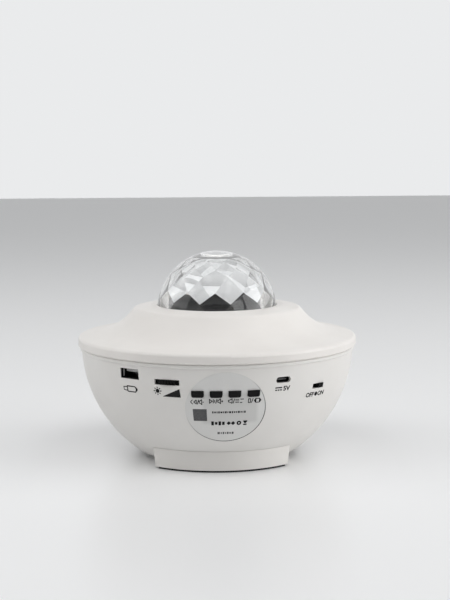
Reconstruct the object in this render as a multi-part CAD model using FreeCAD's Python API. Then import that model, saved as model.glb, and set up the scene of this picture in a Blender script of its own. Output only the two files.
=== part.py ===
import FreeCAD, Part
import math
import os
from FreeCAD import Vector

# Planetarium projector with a speaker: a bowl-shaped housing with a flared lid, a clear faceted dome,
# a geared ripple disc and grating wheel under the dome, a control board behind the rear wall and a
# loudspeaker that fires down between the two feet of the stand.
# Millimetres. Origin: bottom centre. +Z up, the controls look towards -Y.
# An azimuth is counted in degrees from -Y towards +X.

# ---- bowl (lower shell): one arc revolved about Z
BOWL_ARC = 79.1
BOWL_CENTRE_R = 3.0
BOWL_CENTRE_Z = 67.94
BOWL_BOTTOM = 3.6
BOWL_TOP = 63.8
WALL = 2.3
BEAD_R = 82.8
BEAD_TOP = 66.1
STAND_SEAT_R = 46.7
LEDGE_R = 41.5
LEDGE_LOW = 5.5
LEDGE_HIGH = 7.6

# ---- lid (upper shell): rim, flare and neck
LID_R = 84.0
LID_LOW = 66.3
LID_EDGE_CHAMFER = 0.8
RIM_ROUND = 2.0
RIM_ROUND_Z = 70.38
FLARE_ARC = 34.0
FLARE_FLAT = 9.5
FLARE_STEEP = 52.0
FLARE_START = (73.08, 73.9)
NECK_ROUND = 3.0
NECK_ROUND_R = 48.5
NECK_ROUND_Z = 86.0
NECK_SLOPE = 8.4
CROWN_ROUND = 3.2
CROWN_TOP = 90.3
NECK_CEILING = 85.8
NECK_HOLE_R = 36.4
LID_WALL = 2.2
SKIRT_R = 79.2
SKIRT_WALL = 1.7
SKIRT_LOW = 62.3

# ---- dome
DOME_R = 36.2
DOME_Z = 86.3
FACET_R = 35.2
FACET_COUNT = 12
FACET_TURN = -4.8
FACET_VALLEY = 7.3
FACET_PEAK = 13.7
CROWN_RINGS = 4
DOME_FLANGE_R = 41.0
DOME_FLANGE_LOW = 84.2

# ---- stand
STAND_R_TOP = 59.5
STAND_R_LOW = 58.8
STAND_HALF_TOP = 40.2
STAND_HALF_LOW = 38.5
STAND_LOW = 1.1
STAND_WALL = 2.2
STAND_HIGH = 15.0
STAND_END_ROUND = 0.9
STAND_RIB = 1.6
STAND_RIB_AZIMUTHS = (-14.0, 14.0, 166.0, 194.0)
STAND_RECESS_R = 44.0
DISC_R = 46.4
DISC_LOW = 3.6
DISC_HIGH = 5.5
GRILLE_RINGS = 5
GRILLE_STEP = 4.2
GRILLE_HOLE_R = 1.2
PAD_OUTER = 58.3
PAD_INNER = 55.3
PAD_HALF_ANGLE = 39.0

# ---- board and controls: azimuth, height
BOARD_LOW = 52.9
BOARD_HIGH = 54.5
BOARD_R = 76.6
BOARD_CHORD_Y = -24.0
USB_A = (-40.4, 58.7)
BRIGHTNESS = (-23.3, 55.65)
USB_C = (24.0, 56.1)
SWITCH = (42.65, 49.85)
BUTTON_Z = 49.4
BUTTONS = {
    "previous_button": -10.95,
    "next_button": -3.55,
    "play_button": 3.87,
    "light_button": 11.53,
}
BUTTON_W = 6.8
BUTTON_H = 3.6
BUTTON_PROUD = 0.9
CLEAR = 0.15
USB_A_SHELL = (13.1, 5.72)
USB_A_SHEET = 0.3
USB_A_FRONT = 80.75
WHEEL_SLOT = 14.9
WHEEL_R = 8.7
WHEEL_RADIAL = 73.55
WHEEL_THICK = 2.6
KNOB_W = 3.8
KNOB_H = 2.5
SWITCH_TRAVEL = 3.0
LABEL_R = 22.5
LABEL_Z = 39.9
LABEL_AZIMUTH = 0.4
LABEL_THICK = 0.12

# ---- gear train, module and places
MODULE = 0.75
RIPPLE_TEETH = 48
GRATING_TEETH = 30
PINION_TEETH = 12
GEAR_LOW = 78.8
GEAR_HIGH = 80.8
RIPPLE_AT = (-11.5, 0.0)
PINION_DIRECTION = 67.5
SPINDLE_R = 1.5
RUNNING = 0.05
LASER_OFFSET = 6.5
MOTOR_R = 10.0
MOTOR_LOW = 57.0
SHAFT_R = 1.0
MOTOR_SCREW_REACH = 6.5

DECK_LOW = 74.6
DECK_HIGH = 76.4
DECK_R = 45.9
COVER_LOW = 82.4
COVER_HIGH = 84.2
COVER_R = 46.2
WINDOW_PLATE_R = 32.0
WINDOW_PLATE_HIGH = 86.0
PEG_R = 1.5
PEG_RING_R = 24.0
LED_WINDOW_R = 6.0
LASER_WINDOW_R = 2.6

# ---- places of the screws: radius and azimuths
LID_SCREW_R = 50.0
LID_SCREW_AZIMUTHS = (-32.0, 32.0, 148.0, 212.0)
LID_SCREW_SEAT = 59.4
POST_SPLIT = 62.0
DECK_SCREW_R = 44.4
DECK_SCREW_AZIMUTHS = (0.0, 120.0, 240.0)
COVER_SCREW_AZIMUTHS = (60.0, 180.0, 300.0)
BASE_SCREW_R = 44.0
BASE_SCREW_AZIMUTHS = (45.0, 135.0, 225.0, 315.0)
BOARD_SCREWS = ((-54.0, -34.0), (54.0, -34.0), (0.0, -48.0))
SCREW_R = 1.25
SMALL_SCREW_R = 0.9

UP = Vector(0, 0, 1)
ORIGIN = Vector(0, 0, 0)


def save(name, *solids):
    shape = solids[0] if len(solids) == 1 else Part.makeCompound(list(solids))
    if not shape.isValid():
        raise ValueError(name + " is not valid")
    shape.exportStep("parts/" + name + ".step")
    print(name, "solids", len(shape.Solids), "volume", round(shape.Volume, 1))


def on_ring(radius, azimuth, height=0.0):
    angle = math.radians(azimuth)
    return Vector(radius * math.sin(angle), -radius * math.cos(angle), height)


def turned(shape, azimuth):
    copy = shape.copy()
    copy.rotate(ORIGIN, UP, azimuth)
    return copy


def rod(radius, low, high, x=0.0, y=0.0):
    return Part.makeCylinder(radius, high - low, Vector(x, y, low))


def tube(outer, inner, low, high, x=0.0, y=0.0):
    return rod(outer, low, high, x, y).cut(rod(inner, low - 1, high + 1, x, y))


def block(x, y, z):
    return Part.makeBox(x[1] - x[0], y[1] - y[0], z[1] - z[0], Vector(x[0], y[0], z[0]))


def rear_block(width, radial, z):
    """A block that looks towards -Y, from one distance to another from the Z axis."""
    return block((-width / 2, width / 2), (-radial[1], -radial[0]), z)


def rear_slug(width, height, radial, centre_z, round_r, lower_only=False):
    """A bar along -Y with rounded edges; lower_only keeps the two upper edges sharp."""
    bar = rear_block(width, radial, (centre_z - height / 2, centre_z + height / 2))
    edges = []
    for edge in bar.Edges:
        start, end = edge.Vertexes[0].Point, edge.Vertexes[-1].Point
        along_y = abs(start.x - end.x) < 1e-6 and abs(start.z - end.z) < 1e-6
        if along_y and not (lower_only and start.z > centre_z):
            edges.append(edge)
    return bar.makeFillet(round_r, edges)


def spun(edges):
    return Part.Face(Part.Wire(edges)).revolve(ORIGIN, UP, 360)


def at(point):
    return Vector(point[0], 0, point[1])


def line(start, end):
    return Part.makeLine(at(start), at(end))


def arc(start, middle, end):
    return Part.Arc(at(start), at(middle), at(end)).toShape()


def spun_polygon(points):
    closed = points + [points[0]]
    return spun([line(a, b) for a, b in zip(closed, closed[1:])])


def screw(x, y, bearing_z, length, radius, head_r, head_h, upward=True):
    """A pan-head screw: the shank points up from bearing_z, or down if upward is False."""
    sign = 1 if upward else -1
    head = Part.makeCylinder(head_r, head_h, Vector(x, y, bearing_z), Vector(0, 0, -sign))
    shank = Part.makeCylinder(radius, length, Vector(x, y, bearing_z), Vector(0, 0, sign))
    reach = 0.62 * head_h
    face = bearing_z - sign * head_h
    z = sorted((face, face + sign * reach))
    cross = block((x - 0.6 * head_r, x + 0.6 * head_r), (y - 0.14 * head_r, y + 0.14 * head_r), z)
    cross = cross.fuse(block((x - 0.14 * head_r, x + 0.14 * head_r), (y - 0.6 * head_r, y + 0.6 * head_r), z))
    return head.fuse(shank).cut(cross).removeSplitter()


# ---------------------------------------------------------------- bowl

def bowl_radius(z, inset=0.0):
    return BOWL_CENTRE_R + math.sqrt((BOWL_ARC - inset) ** 2 - (z - BOWL_CENTRE_Z) ** 2)


def bowl_body(inset, low, high):
    """The bowl's outer form as a full solid, drawn in by inset, between two heights."""
    bottom = (bowl_radius(low, inset), low)
    middle_z = (low + high) / 2
    middle = (bowl_radius(middle_z, inset), middle_z)
    top = (bowl_radius(high, inset), high)
    return spun([
        line((0, low), bottom),
        arc(bottom, middle, top),
        line(top, (0, high)),
        line((0, high), (0, low)),
    ])


def lip_bead():
    round_r = 0.7
    inner = bowl_radius(BOWL_TOP, WALL)
    corner = round_r * (1 - math.sqrt(0.5))
    low, high = BOWL_TOP, BEAD_TOP
    return spun([
        line((inner, low), (BEAD_R - round_r, low)),
        arc((BEAD_R - round_r, low), (BEAD_R - corner, low + corner), (BEAD_R, low + round_r)),
        line((BEAD_R, low + round_r), (BEAD_R, high - round_r)),
        arc((BEAD_R, high - round_r), (BEAD_R - corner, high - corner), (BEAD_R - round_r, high)),
        line((BEAD_R - round_r, high), (inner, high)),
        line((inner, high), (inner, low)),
    ])


def usb_c_form(grow, radial):
    width, height = 8.94 + 2 * grow, 3.26 + 2 * grow
    return rear_slug(width, height, radial, USB_C[1], height / 2 - 0.05)


def button_form(grow, radial):
    return rear_slug(BUTTON_W + 2 * grow, BUTTON_H + 2 * grow, radial, BUTTON_Z, 1.1 + grow, True)


def wall_cuts():
    """The holes in the rear wall, each at its own azimuth."""
    depth = (70.0, 86.0)
    usb_w, usb_h = USB_A_SHELL[0] + CLEAR, USB_A_SHELL[1] + CLEAR
    cuts = [turned(rear_block(usb_w, depth, (USB_A[1] - usb_h / 2, USB_A[1] + usb_h / 2)), USB_A[0])]
    wheel_z, half_slot = BRIGHTNESS[1], WHEEL_THICK / 2 + 0.3
    wheel_slot = rear_block(WHEEL_SLOT, depth, (wheel_z - half_slot, wheel_z + half_slot))
    cuts.append(turned(wheel_slot, BRIGHTNESS[0]))
    cuts.append(turned(usb_c_form(0.1, depth), USB_C[0]))
    slot_width = KNOB_W + SWITCH_TRAVEL + 2.0
    cuts.append(turned(rear_block(slot_width, depth, (SWITCH[1] - 1.45, SWITCH[1] + 1.45)), SWITCH[0]))
    cuts += [turned(button_form(CLEAR, depth), azimuth) for azimuth in BUTTONS.values()]
    return cuts


def lower_shell():
    shell = bowl_body(0, BOWL_BOTTOM, BOWL_TOP).fuse(lip_bead())
    inside = bowl_body(WALL, LEDGE_HIGH, BEAD_TOP + 1)
    posts = []
    bores = []
    for azimuth in LID_SCREW_AZIMUTHS:
        place = on_ring(LID_SCREW_R, azimuth)
        posts.append(rod(4.6, LEDGE_HIGH - 1, POST_SPLIT, place.x, place.y))
        bores.append(rod(3.2, 0, LID_SCREW_SEAT, place.x, place.y))
        bores.append(rod(SCREW_R + 0.3, LID_SCREW_SEAT - 1, 70, place.x, place.y))
    for x, y in BOARD_SCREWS:
        posts.append(rod(3.2, LEDGE_HIGH - 1, BOARD_LOW, x, y))
        bores.append(rod(SCREW_R, BOARD_LOW - 9, BOARD_LOW + 1, x, y))
    for azimuth in BASE_SCREW_AZIMUTHS:
        place = on_ring(BASE_SCREW_R, azimuth)
        posts.append(rod(2.9, LEDGE_HIGH - 1, 14.5, place.x, place.y))
        bores.append(rod(SCREW_R, 0, 13, place.x, place.y))
    shell = shell.cut(inside)
    shell = shell.cut([rod(LEDGE_R, 0, 20), rod(STAND_SEAT_R, 0, LEDGE_LOW)])
    envelope = bowl_body(WALL / 2, BOWL_BOTTOM, BEAD_TOP)
    posts = [post.common(envelope) for post in posts]
    return shell.fuse(posts).cut(bores + wall_cuts()).removeSplitter()


# ---------------------------------------------------------------- lid

def flare_point(slope, inset=0.0):
    """A point of the concave flare where its surface slopes by that many degrees."""
    flat = math.radians(FLARE_FLAT)
    centre_r = FLARE_START[0] + FLARE_ARC * math.sin(flat)
    centre_z = FLARE_START[1] + FLARE_ARC * math.cos(flat)
    angle = math.radians(slope)
    radius = FLARE_ARC + inset
    return (centre_r - radius * math.sin(angle), centre_z - radius * math.cos(angle))


def round_point(centre, radius, lean):
    """A point of a rounded edge where its outward direction leans by that angle from +Z."""
    return (centre[0] + radius * math.sin(lean), centre[1] + radius * math.cos(lean))


def round_arc(centre, radius, first, last):
    middle = round_point(centre, radius, (first + last) / 2)
    return arc(round_point(centre, radius, first), middle, round_point(centre, radius, last))


def lid_outside():
    """Closed outer form of the lid, solid down to its lower edge."""
    flat, steep = math.radians(FLARE_FLAT), math.radians(FLARE_STEEP)
    rim = (LID_R - RIM_ROUND, RIM_ROUND_Z)
    slope = math.radians(NECK_SLOPE)
    neck = (NECK_ROUND_R, NECK_ROUND_Z)
    crown = (NECK_HOLE_R + CROWN_ROUND, CROWN_TOP - CROWN_ROUND)
    flare_low = flare_point(FLARE_FLAT)
    flare_high = flare_point(FLARE_STEEP)
    edge = (LID_R - LID_EDGE_CHAMFER, LID_LOW)
    return spun([
        line((0, LID_LOW), edge),
        line(edge, (LID_R, LID_LOW + LID_EDGE_CHAMFER)),
        line((LID_R, LID_LOW + LID_EDGE_CHAMFER), (LID_R, RIM_ROUND_Z)),
        round_arc(rim, RIM_ROUND, math.pi / 2, flat),
        line(round_point(rim, RIM_ROUND, flat), flare_low),
        arc(flare_low, flare_point((FLARE_FLAT + FLARE_STEEP) / 2), flare_high),
        line(flare_high, round_point(neck, NECK_ROUND, steep)),
        round_arc(neck, NECK_ROUND, steep, slope),
        line(round_point(neck, NECK_ROUND, slope), round_point(crown, CROWN_ROUND, slope)),
        round_arc(crown, CROWN_ROUND, slope, -math.pi / 2),
        line(round_point(crown, CROWN_ROUND, -math.pi / 2), (0, crown[1])),
        line((0, crown[1]), (0, LID_LOW)),
    ])


def lid_inside():
    """The hollow under the lid, a wall's thickness in from the outer form."""
    steep = math.tan(math.radians(FLARE_STEEP))
    flat = math.tan(math.radians(FLARE_FLAT))
    low_edge = flare_point(FLARE_FLAT, LID_WALL)
    high_edge = flare_point(FLARE_STEEP, LID_WALL)
    corner_r = high_edge[0] - (NECK_CEILING - high_edge[1]) / steep
    side_r = LID_R - LID_WALL
    side_z = low_edge[1] - (side_r - low_edge[0]) * flat
    return spun([
        line((0, LID_LOW - 1), (side_r, LID_LOW - 1)),
        line((side_r, LID_LOW - 1), (side_r, side_z)),
        line((side_r, side_z), low_edge),
        arc(low_edge, flare_point((FLARE_FLAT + FLARE_STEEP) / 2, LID_WALL), high_edge),
        line(high_edge, (corner_r, NECK_CEILING)),
        line((corner_r, NECK_CEILING), (0, NECK_CEILING)),
        line((0, NECK_CEILING), (0, LID_LOW - 1)),
    ])


def skirt():
    """The locating skirt inside the bowl's lip, with the shelf that carries it."""
    inner = SKIRT_R - SKIRT_WALL
    shelf = LID_LOW + 1.8
    rim = LID_R - LID_WALL / 2
    return spun_polygon([
        (inner, SKIRT_LOW), (SKIRT_R - 0.4, SKIRT_LOW), (SKIRT_R, SKIRT_LOW + 0.6),
        (SKIRT_R, LID_LOW), (rim, LID_LOW), (rim, shelf), (inner, shelf),
    ])


def upper_shell():
    posts = []
    bores = []
    for azimuth in LID_SCREW_AZIMUTHS:
        place = on_ring(LID_SCREW_R, azimuth)
        posts.append(rod(3.2, POST_SPLIT, 87.5, place.x, place.y))
        bores.append(rod(SCREW_R, POST_SPLIT - 1, 73, place.x, place.y))
    for azimuth in DECK_SCREW_AZIMUTHS:
        place = on_ring(DECK_SCREW_R, azimuth)
        posts.append(rod(2.6, DECK_HIGH, 87, place.x, place.y))
        bores.append(rod(SMALL_SCREW_R, DECK_HIGH - 1, 83.5, place.x, place.y))
    for azimuth in COVER_SCREW_AZIMUTHS:
        place = on_ring(DECK_SCREW_R, azimuth)
        posts.append(rod(2.6, COVER_HIGH, 87, place.x, place.y))
        bores.append(rod(SMALL_SCREW_R, COVER_HIGH - 1, 87.4, place.x, place.y))
    outside = lid_outside()
    shell = outside.cut(lid_inside()).fuse([skirt()] + [post.common(outside) for post in posts])
    return shell.cut(bores + [rod(NECK_HOLE_R, 80, 95)]).removeSplitter()


# ---------------------------------------------------------------- dome

def flat(*points):
    return Part.Face(Part.makePolygon(list(points) + [points[0]]))


def kite_tip(start, side):
    """The far point of a flat kite with its four points on the facets' sphere.

    Points are (radius, height over the dome's centre); side is where its two side points lie.
    """
    middle_r = side[0] * math.cos(math.pi / FACET_COUNT)
    run, rise = middle_r - start[0], side[1] - start[1]
    share = -2 * (start[0] * run + start[1] * rise) / (run ** 2 + rise ** 2)
    return (start[0] + share * run, start[1] + share * rise)


def facet_rings():
    """Rings of points from below the flange to the crown, each half a facet further round."""
    valley = (math.sqrt(FACET_R ** 2 - FACET_VALLEY ** 2), FACET_VALLEY)
    peak = (math.sqrt(FACET_R ** 2 - FACET_PEAK ** 2), FACET_PEAK)
    places = [kite_tip(peak, valley), valley, peak]
    for _ in range(CROWN_RINGS):
        places.append(kite_tip(places[-2], places[-1]))
    step = 360.0 / FACET_COUNT
    rings = []
    for level, (radius, height) in enumerate(places):
        first = FACET_TURN + (level % 2) * step / 2
        rings.append([on_ring(radius, first + step * k, DOME_Z + height) for k in range(FACET_COUNT)])
    return rings


def facet_core():
    """The hollow under the dome, a ball of flat kites with a flat crown."""
    rings = facet_rings()
    faces = [flat(*rings[0]), flat(*rings[-1])]
    for level in range(len(rings) - 2):
        low, side, high = rings[level:level + 3]
        turn = level % 2
        for k in range(FACET_COUNT):
            left, right = side[(k + turn - 1) % FACET_COUNT], side[(k + turn) % FACET_COUNT]
            faces.append(flat(low[k], right, high[k], left))
    for k in range(FACET_COUNT):
        faces.append(flat(rings[0][k], rings[0][(k + 1) % FACET_COUNT], rings[1][k]))
        faces.append(crown_triangle(rings, k))
    return Part.makeSolid(Part.makeShell(faces))


def crown_triangle(rings, k):
    """The half kite under one edge of the crown."""
    turn = (len(rings) - 2) % 2
    return flat(rings[-2][k], rings[-1][(k + turn) % FACET_COUNT], rings[-1][(k + turn - 1) % FACET_COUNT])


def crystal_dome():
    body = Part.makeSphere(DOME_R, Vector(0, 0, DOME_Z), UP, 0, 90, 360)
    body = body.fuse(rod(DOME_R, DOME_FLANGE_LOW, DOME_Z))
    body = body.fuse(rod(DOME_FLANGE_R, DOME_FLANGE_LOW, NECK_CEILING))
    return body.cut(facet_core()).removeSplitter()


# ---------------------------------------------------------------- stand and feet

def stand_block(inset, low, high):
    """The drum with two straight sides that the feet are cut from; it tapers towards the table."""
    rise = STAND_HIGH - STAND_LOW
    drum = Part.makeCone(STAND_R_LOW - inset, STAND_R_TOP - inset, rise, Vector(0, 0, STAND_LOW))
    corners = [
        Vector(-STAND_HALF_LOW + inset, -70, STAND_LOW),
        Vector(STAND_HALF_LOW - inset, -70, STAND_LOW),
        Vector(STAND_HALF_TOP - inset, -70, STAND_HIGH),
        Vector(-STAND_HALF_TOP + inset, -70, STAND_HIGH),
    ]
    sides = flat(*corners).extrude(Vector(0, 140, 0))
    return drum.common(sides).common(rod(80, low, high))


def round_ends(feet):
    """Rounds the four upright edges where the drum meets its straight sides."""
    edges = []
    for edge in feet.Edges:
        start, end = edge.Vertexes[0].Point, edge.Vertexes[-1].Point
        across = math.hypot(start.x - end.x, start.y - end.y)
        if across < 4 and abs(start.z - end.z) > 10:
            edges.append(edge)
    return feet.makeFillet(STAND_END_ROUND, edges)


def base_stand():
    feet = round_ends(stand_block(0, STAND_LOW, STAND_HIGH))
    hollow = stand_block(STAND_WALL, STAND_LOW + 2.0, STAND_HIGH).cut(rod(DISC_R, 0, 30))
    feet = feet.cut([rod(STAND_RECESS_R, 0, 30), hollow])
    ribs = []
    for azimuth in STAND_RIB_AZIMUTHS:
        ribs.append(turned(rear_block(STAND_RIB, (DISC_R - 0.5, 58.0), (STAND_LOW, STAND_HIGH)), azimuth))
    bowl_above = bowl_body(-0.15, BOWL_BOTTOM - 0.1, 40).cut(rod(DISC_R, 0, DISC_HIGH))
    feet = feet.fuse(ribs).cut(bowl_above)
    feet = feet.fuse(rod(DISC_R, DISC_LOW, DISC_HIGH))
    cuts = []
    for ring in range(GRILLE_RINGS):
        count = max(1, 6 * ring)
        for k in range(count):
            hole = on_ring(GRILLE_STEP * ring, 360.0 * k / count)
            cuts.append(rod(GRILLE_HOLE_R, 0, 10, hole.x, hole.y))
    for azimuth in BASE_SCREW_AZIMUTHS:
        place = on_ring(BASE_SCREW_R, azimuth)
        cuts.append(rod(SCREW_R + 0.2, 0, 10, place.x, place.y))
        cuts.append(rod(2.7, 0, DISC_LOW, place.x, place.y))
    for azimuth in LID_SCREW_AZIMUTHS:
        place = on_ring(LID_SCREW_R, azimuth)
        cuts.append(rod(3.4, 0, 10, place.x, place.y))
    for azimuth in SPEAKER_SCREW_AZIMUTHS:
        place = on_ring(SPEAKER_SCREW_R, azimuth)
        cuts.append(rod(SMALL_SCREW_R, DISC_LOW + 0.3, DISC_HIGH + 1, place.x, place.y))
    return feet.cut(cuts).removeSplitter()


def foot_pads():
    pads = []
    for middle in (0.0, 180.0):
        strip = tube(PAD_OUTER, PAD_INNER, 0, STAND_LOW)
        reach = 80.0
        edge = math.tan(math.radians(PAD_HALF_ANGLE)) * reach
        wedge = flat(Vector(0, 0, -1), Vector(-edge, -reach, -1), Vector(edge, -reach, -1))
        strip = strip.common(wedge.extrude(Vector(0, 0, 4)))
        pads.append(turned(strip, middle))
    return pads


# ---------------------------------------------------------------- gears

def involute(angle):
    return math.tan(angle) - angle


def gear_outline(teeth, first_tooth, x, y, z):
    """Closed outline of a spur gear; first_tooth is the direction of one tooth's middle in degrees."""
    pitch_r = MODULE * teeth / 2
    base_r = pitch_r * math.cos(math.radians(20))
    at_pitch = math.pi / (2 * teeth) * 0.9
    shift = involute(math.radians(20))
    flank = []
    for share in (-1.15, -0.35, 0.1, 0.85):
        radius = pitch_r + share * MODULE
        pressure = math.acos(min(1.0, base_r / max(radius, base_r)))
        flank.append((radius, at_pitch + shift - involute(pressure)))
    root = flank[0]
    flank[0] = (root[0], min(root[1] * 1.12, math.pi / teeth * 0.93))
    points = []
    for k in range(teeth):
        middle = math.radians(first_tooth) + 2 * math.pi * k / teeth
        for radius, half in flank:
            points.append((radius, middle - half))
        for radius, half in reversed(flank):
            points.append((radius, middle + half))
    corners = [Vector(x + r * math.cos(a), y + r * math.sin(a), z) for r, a in points]
    return Part.makePolygon(corners + [corners[0]])


def gear(teeth, first_tooth, x, y, low, high):
    return Part.Face(gear_outline(teeth, first_tooth, x, y, low)).extrude(Vector(0, 0, high - low))


def pitch_radius(teeth):
    return MODULE * teeth / 2


def train_places():
    """Centres of the grating wheel and the pinion, in mesh with the ripple disc."""
    to_grating = pitch_radius(RIPPLE_TEETH) + pitch_radius(GRATING_TEETH)
    grating = (RIPPLE_AT[0] + to_grating, RIPPLE_AT[1])
    to_pinion = pitch_radius(RIPPLE_TEETH) + pitch_radius(PINION_TEETH)
    angle = math.radians(PINION_DIRECTION)
    pinion = (RIPPLE_AT[0] + to_pinion * math.cos(angle), RIPPLE_AT[1] + to_pinion * math.sin(angle))
    return grating, pinion


GRATING_AT, PINION_AT = train_places()
LASER_AT = (GRATING_AT[0], GRATING_AT[1] - LASER_OFFSET)


def ripple_disc():
    x, y = RIPPLE_AT
    wheel = gear(RIPPLE_TEETH, 0, x, y, GEAR_LOW, GEAR_HIGH)
    hub = rod(3.4, DECK_HIGH + 0.3, COVER_LOW - 0.3, x, y)
    ripples = []
    for k in range(10):
        angle = math.radians(36 * k)
        for reach, size in ((7.2, 6.0), (12.6, 7.5)):
            place = Vector(x + reach * math.cos(angle), y + reach * math.sin(angle), GEAR_HIGH + 0.7 - size)
            ripples.append(Part.makeSphere(size, place).common(rod(40, GEAR_HIGH - 0.5, GEAR_HIGH + 2)))
            angle += math.radians(18)
    bore = rod(SPINDLE_R + RUNNING, 70, 90, x, y)
    return wheel.fuse([hub] + ripples).cut(bore).removeSplitter()


def grating_wheel():
    x, y = GRATING_AT
    half_pitch = 180.0 / GRATING_TEETH
    wheel = gear(GRATING_TEETH, half_pitch, x, y, GEAR_LOW, GEAR_HIGH)
    hub = rod(2.8, DECK_HIGH + 0.3, COVER_LOW - 0.3, x, y)
    window = rod(9.4, GEAR_LOW - 1, GEAR_HIGH + 1, x, y).cut(rod(3.6, GEAR_LOW - 1, GEAR_HIGH + 1, x, y))
    spokes = []
    for k in range(3):
        spoke = block((0, 10), (-0.7, 0.7), (GEAR_LOW, GEAR_HIGH - 0.6))
        spoke.rotate(ORIGIN, UP, 120 * k + 30)
        spoke.translate(Vector(x, y, 0))
        spokes.append(spoke)
    wheel = wheel.cut(window).fuse([hub] + spokes)
    return wheel.cut(rod(SPINDLE_R + RUNNING, 70, 90, x, y)).removeSplitter()


def diffraction_grating():
    """The clear etched film that lies on the wheel's spokes."""
    x, y = GRATING_AT
    return tube(9.3, 3.65, GEAR_HIGH - 0.6, GEAR_HIGH - 0.3, x, y)


def motor_pinion():
    x, y = PINION_AT
    gap_direction = PINION_DIRECTION + 180
    first_tooth = gap_direction + 180.0 / PINION_TEETH
    pinion = gear(PINION_TEETH, first_tooth, x, y, GEAR_LOW - 0.3, GEAR_HIGH + 0.3)
    collar = rod(3.2, DECK_HIGH + 0.5, GEAR_LOW - 0.3, x, y)
    return pinion.fuse(collar).cut(rod(SHAFT_R, 60, 90, x, y)).removeSplitter()


# ---------------------------------------------------------------- deck, cover, light sources

def deck_plate():
    plate = rod(DECK_R, DECK_LOW, DECK_HIGH)
    rim = tube(DECK_R, DECK_R - 1.4, DECK_HIGH, DECK_HIGH + 1.2)
    lobes = []
    cuts = []
    for azimuth in DECK_SCREW_AZIMUTHS:
        place = on_ring(DECK_SCREW_R, azimuth)
        lobes.append(rod(3.0, DECK_LOW, DECK_HIGH, place.x, place.y))
        cuts.append(rod(SMALL_SCREW_R + 0.2, 60, 90, place.x, place.y))
        cuts.append(rod(3.0, DECK_HIGH, 90, place.x, place.y))
    for azimuth in LID_SCREW_AZIMUTHS:
        place = on_ring(LID_SCREW_R, azimuth)
        cuts.append(rod(3.7, 60, 90, place.x, place.y))
    for x, y in (RIPPLE_AT, GRATING_AT):
        cuts.append(rod(SPINDLE_R, 60, 90, x, y))
    cuts.append(rod(8.2, 60, 90))
    cuts.append(rod(2.4, 60, 90, LASER_AT[0], LASER_AT[1]))
    cuts.append(rod(3.3, 60, 90, PINION_AT[0], PINION_AT[1]))
    for side in (-1, 1):
        cuts.append(rod(SMALL_SCREW_R + 0.2, 60, 90, PINION_AT[0] + side * MOTOR_SCREW_REACH, PINION_AT[1]))
    return plate.fuse([rim] + lobes).cut(cuts).removeSplitter()


def wheel_spindles():
    pins = []
    for x, y in (RIPPLE_AT, GRATING_AT):
        pins.append(rod(SPINDLE_R, DECK_LOW, COVER_LOW - 0.1, x, y))
    return pins


def window_bores():
    """The beams' two ways up, through the cover and the window plate."""
    return [rod(LED_WINDOW_R, 60, 90), rod(LASER_WINDOW_R, 60, 90, LASER_AT[0], LASER_AT[1])]


def plate_pegs(radius, low):
    """Three pegs under the window plate, or the holes that they are pushed into."""
    places = [on_ring(PEG_RING_R, azimuth) for azimuth in COVER_SCREW_AZIMUTHS]
    return [rod(radius, low, COVER_HIGH + 0.5, place.x, place.y) for place in places]


def window_plate():
    """The black plate on the cover, with a collar round each of the two windows."""
    plate = rod(WINDOW_PLATE_R, COVER_HIGH, WINDOW_PLATE_HIGH)
    hood = tube(LED_WINDOW_R + 1.4, LED_WINDOW_R, WINDOW_PLATE_HIGH - 0.5, WINDOW_PLATE_HIGH + 1.4)
    nose_r = LASER_WINDOW_R + 1.6
    nose = tube(nose_r, LASER_WINDOW_R, WINDOW_PLATE_HIGH - 0.5, WINDOW_PLATE_HIGH + 1.0, LASER_AT[0], LASER_AT[1])
    return plate.fuse([hood, nose] + plate_pegs(PEG_R, COVER_LOW + 0.3)).cut(window_bores()).removeSplitter()


def optics_cover():
    """The white floor under the dome; it clamps the dome's flange to the lid and holds the window plate."""
    plate = rod(COVER_R, COVER_LOW, COVER_HIGH)
    cuts = window_bores() + plate_pegs(PEG_R + RUNNING, COVER_LOW - 1)
    for azimuth in COVER_SCREW_AZIMUTHS:
        place = on_ring(DECK_SCREW_R, azimuth)
        cuts.append(rod(SMALL_SCREW_R + 0.2, 60, 90, place.x, place.y))
    for azimuth in DECK_SCREW_AZIMUTHS:
        place = on_ring(DECK_SCREW_R, azimuth)
        cuts.append(rod(3.0, 60, 90, place.x, place.y))
    for azimuth in LID_SCREW_AZIMUTHS:
        place = on_ring(LID_SCREW_R, azimuth)
        cuts.append(rod(3.7, 60, 90, place.x, place.y))
    return plate.cut(cuts).removeSplitter()


def drive_motor():
    x, y = PINION_AT
    can = rod(MOTOR_R, MOTOR_LOW, DECK_LOW - 1.0, x, y)
    flange = rod(MOTOR_R, DECK_LOW - 1.0, DECK_LOW, x, y)
    boss = rod(3.1, DECK_LOW, DECK_HIGH, x, y)
    grooves = [tube(MOTOR_R + 1, MOTOR_R - 0.5, z, z + 0.8, x, y) for z in (63.0, 70.5)]
    body = can.fuse([flange, boss]).cut(grooves)
    cuts = [rod(SHAFT_R + RUNNING, MOTOR_LOW + 3, 90, x, y)]
    for side in (-1, 1):
        cuts.append(rod(SMALL_SCREW_R, DECK_LOW - 4, 90, x + side * MOTOR_SCREW_REACH, y))
    return body.cut(cuts).removeSplitter()


def motor_shaft():
    x, y = PINION_AT
    return rod(SHAFT_R, MOTOR_LOW + 3.1, GEAR_HIGH + 0.8, x, y)


def laser_module():
    x, y = LASER_AT
    barrel = rod(6.0, 57.0, 72.0, x, y)
    nose = rod(4.0, 72.0, 74.0, x, y)
    aperture = rod(1.6, 70.0, 75.0, x, y)
    tail = rod(4.6, 55.6, 57.0, x, y)
    return barrel.fuse([nose, tail]).cut(aperture).removeSplitter()


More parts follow.
